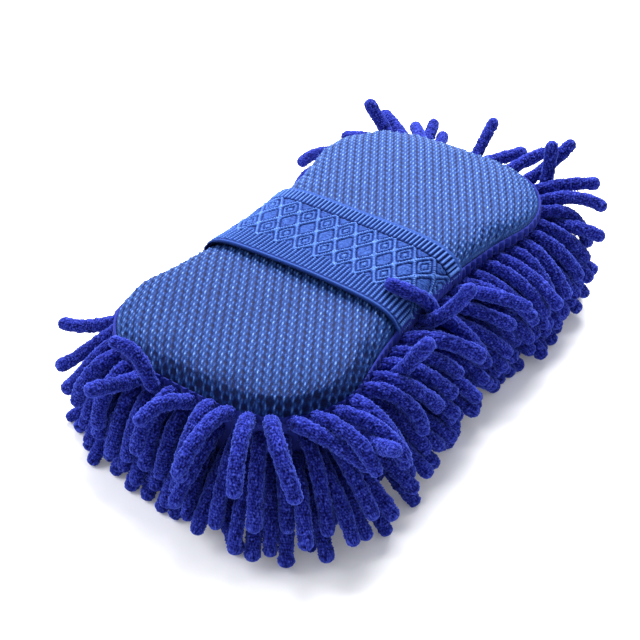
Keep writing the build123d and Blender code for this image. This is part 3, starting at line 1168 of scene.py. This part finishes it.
def hold_length(points, segment):
    """Pulls neighbouring points back to their distance, from the root, which stays, to the tip."""
    for i in range(rod_points - 1):
        link = points[:, i + 1] - points[:, i]
        size = np.linalg.norm(link, axis=1, keepdims=True) + tiny
        fix = link * (1 - segment / size)
        inner_share = 0.5 if i else 0.0
        points[:, i] += inner_share * fix
        points[:, i + 1] -= (1 - inner_share) * fix


def settle(lines, segment, weight, steps):
    """Lets the noodles sag, bend and push each other apart until they lie together."""
    points = lines.copy()
    owner = np.repeat(np.arange(len(lines)), rod_points)
    # a fixed point before each root holds the noodle's direction there
    before = lines[:, :1] - (lines[:, 1:2] - lines[:, :1])
    whole = np.concatenate([before, lines], axis=1)
    rest_bend = whole[:, :-2] - 2 * whole[:, 1:-1] + whole[:, 2:]
    apart = 2 * core_radius + rod_gap
    sag = np.linspace(0, 1, rod_points)[None, :] * weight[:, None] * rod_sag
    for step in range(steps):
        if step % 5 == 0:
            first, second = near_pairs(points.reshape(-1, 3), owner, apart + 2.4 * MM)
        points[:, :, 2] -= sag
        for _ in range(rod_passes):
            points = hold_bend(points, before, rest_bend)
            points = keep_outside(push_apart(points, first, second, apart))
            points[:, :1] = lines[:, :1]
            hold_length(points, segment)
    return points


def smooth_middle(points, rows):
    """A smooth line through each noodle's points, at rows places."""
    count = points.shape[1]
    before = 2 * points[:, :1] - points[:, 1:2]
    beyond = 2 * points[:, -1:] - points[:, -2:-1]
    padded = np.concatenate([before, points, beyond], axis=1)
    place = np.linspace(0, count - 1, rows)
    index = np.minimum(place.astype(int), count - 2)
    t = (place - index)[None, :, None]
    p0, p1, p2, p3 = (padded[:, index + i] for i in range(4))
    square, cube = 2 * p0 - 5 * p1 + 4 * p2 - p3, 3 * p1 - p0 - 3 * p2 + p3
    return 0.5 * (2 * p1 + (p2 - p0) * t + square * t**2 + cube * t**3)


# the noodles' skins
tuft_pitch = 1.05 * MM
tuft_height = 0.23 * MM
pile_most = 2.2  # how many times its usual height a tuft may be
tip_length = 1.1 * core_radius
tip_hole = 0.015  # how far short of closing the tip's last ring stops, as a share of its arc


def blurred(values, axis):
    """Values evened out along an axis whose ends meet."""
    return 0.5 * values + 0.25 * (np.roll(values, 1, axis) + np.roll(values, -1, axis))


def pile(middle, count, rows, around, random):
    """The pile's heights: tufts in slanting rings, unevenly spaced, with stray fibres between."""
    step = np.linalg.norm(middle[:, 1] - middle[:, 0], axis=1)[:, None, None]
    ring = np.arange(rows)[None, :, None] * step / tuft_pitch
    spoke = np.arange(around)[None, None, :] / around
    tufts = round(2 * math.pi * core_radius / tuft_pitch)
    loose = random.normal(0, 1, (2, count, rows, around))
    for axis in (2, 3, 2, 3):
        loose = blurred(loose, axis)
    loose = 0.9 * loose / loose.std()
    rings = np.cos(2 * math.pi * (ring + 2 * spoke) + loose[0])
    spokes = np.cos(2 * math.pi * (tufts * spoke + 0.5 * ring) + loose[1])
    fibres = blurred(random.normal(0, 1, rings.shape), 1)
    nub = 0.45 * rings + 0.45 * spokes + 0.95 * fibres
    return np.clip(nub / nub.std(), -pile_most, pile_most)


def unit(vectors):
    return vectors / np.linalg.norm(vectors, axis=-1, keepdims=True)


def noodle_frames(middle):
    """Directions along each noodle's line and to one side of it, turning as little as they can."""
    tangent = unit(np.gradient(middle, axis=1))
    side = unit(np.cross(tangent[:, 0], [0.13, 0.21, 0.97]))
    sides = np.empty_like(tangent)
    for row in range(tangent.shape[1]):
        side = unit(side - (side * tangent[:, row]).sum(1, keepdims=True) * tangent[:, row])
        sides[:, row] = side
    return tangent, sides


def noodle_skins(points, rows, around, random):
    """Fuzzy round-tipped tubes round the noodles' middle lines: their points, and colour values from
    their nub heights with painted shade at the root and painted light at the tip.
    """
    count = len(points)
    tip_rows = around // 6
    body_rows = rows - tip_rows
    middle = smooth_middle(points, body_rows)
    tangent, sides = noodle_frames(middle)
    angle = np.linspace(0, math.pi / 2, tip_rows + 1)[1:]
    angle[-1] = (1 - tip_hole) * math.pi / 2
    width = np.concatenate([np.ones(body_rows), np.cos(angle)])
    last = middle[:, -1:] + tangent[:, -1:] * (tip_length * np.sin(angle))[None, :, None]
    middle = np.concatenate([middle, last], axis=1)
    tangent = np.concatenate([tangent, np.repeat(tangent[:, -1:], tip_rows, axis=1)], axis=1)
    sides = np.concatenate([sides, np.repeat(sides[:, -1:], tip_rows, axis=1)], axis=1)
    others = np.cross(tangent, sides)
    nub = pile(middle, count, rows, around, random)
    slow = smoothed(random.normal(0, 1, (count, rows)), 14)
    slow = slow / slow.std()
    size = random.normal(1, 0.04, (count, 1))
    radius = (core_radius * width[None] * (size + 0.045 * slow))[:, :, None]
    radius = (radius + tuft_height * nub * np.minimum(1, width * 2)[None, :, None])[..., None]
    turn = np.linspace(0, 2 * math.pi, around, endpoint=False)[None, None, :, None]
    ahead = radius * np.cos(turn) * sides[:, :, None]
    skin = middle[:, :, None] + ahead + radius * np.sin(turn) * others[:, :, None]
    skin[..., 2] = np.maximum(skin[..., 2], 0)
    # painted shade darkens each noodle's colour towards its root, where the noodles shade each other,
    # and painted light brightens it at the tip
    along = np.linspace(0, 1, rows)[None, :, None]
    painted_root_shade_tip_light = 0.08 * (1 - along) ** 2 - 0.1 * along**12
    return skin, np.clip(0.5 + nub / (2 * pile_most) - painted_root_shade_tip_light, 0, 1)


def make_noodles():
    random = np.random.default_rng(7)
    noodles = skirt_layout() + belly_layout()
    lines, segment, weight = rest_lines(noodles, random)
    points = settle(lines, segment, weight, rod_steps)
    for node in sorted({noodle.node for noodle in noodles}):
        chosen = [i for i, noodle in enumerate(noodles) if noodle.node == node]
        underneath = node.startswith(("belly", "standing"))
        rows, around = (40, 22) if underneath else (108, 48)
        skin, nub = noodle_skins(points[chosen], rows, around, random)
        faces = repeated_faces(grid_faces(rows, around, wrap=True), rows * around, len(chosen))
        # the nub attribute carries the colour values, with their painted shade at the root and
        # painted light at the tip
        piece = new_piece(f"{node}_chenille", skin, faces, {"nub": nub})
        put_on(piece, "mitt", chenille, [node])


make_noodles()


# --- Floor, light and camera ---

floor_reach = 3.0
floor_glow = 0.1
studio_middle = (0, 0, 0.03)
camera_place = (-0.37575, -0.2545, 0.37355)
camera_target = (-0.04003, -0.01799, 0.05)
camera_lens = 75.33


def make_stage():
    corners = [(-1, -1, 0), (1, -1, 0), (1, 1, 0), (-1, 1, 0)]
    floor = new_piece("floor", np.array(corners) * floor_reach, [(0, 1, 2, 3)])
    material = bpy.data.materials.new("floor")
    material.use_nodes = True
    constants = {
        "Base Color": (0.93, 0.93, 0.95, 1),
        "Roughness": 0.9,
        "Emission Color": (0.95, 0.96, 1.0, 1),
        "Emission Strength": floor_glow,
    }
    set_inputs(material.node_tree.nodes["Principled BSDF"], constants)
    floor.data.materials.append(material)


def put_facing(thing, place, target):
    """Puts a light or camera in the scene at a place, turned towards a target."""
    place, target = Vector(place), Vector(target)
    thing.location = place
    thing.rotation_euler = (target - place).to_track_quat("-Z", "Y").to_euler()
    bpy.context.scene.collection.objects.link(thing)


def area_light(name, place, size, power):
    data = bpy.data.lights.new(name, "AREA")
    data.shape = "DISK"
    data.size = size
    data.energy = power
    put_facing(bpy.data.objects.new(name, data), place, studio_middle)


def make_lights():
    world = bpy.data.worlds.new("studio")
    bpy.context.scene.world = world
    world.use_nodes = True
    sky = {"Color": (0.97, 0.985, 1.0, 1), "Strength": 0.62}
    set_inputs(world.node_tree.nodes["Background"], sky)
    area_light("overhead", (0.8, 0.45, 1.0), 1.1, 66)
    area_light("side", (-0.5, 0.9, 0.9), 0.9, 12)


def make_camera():
    data = bpy.data.cameras.new("camera")
    data.lens = camera_lens
    data.sensor_width = 36
    data.clip_start = 0.01
    camera = bpy.data.objects.new("camera", data)
    put_facing(camera, camera_place, camera_target)
    bpy.context.scene.camera = camera


make_stage()
make_lights()
make_camera()
bpy.context.scene.view_settings.view_transform = "Standard"
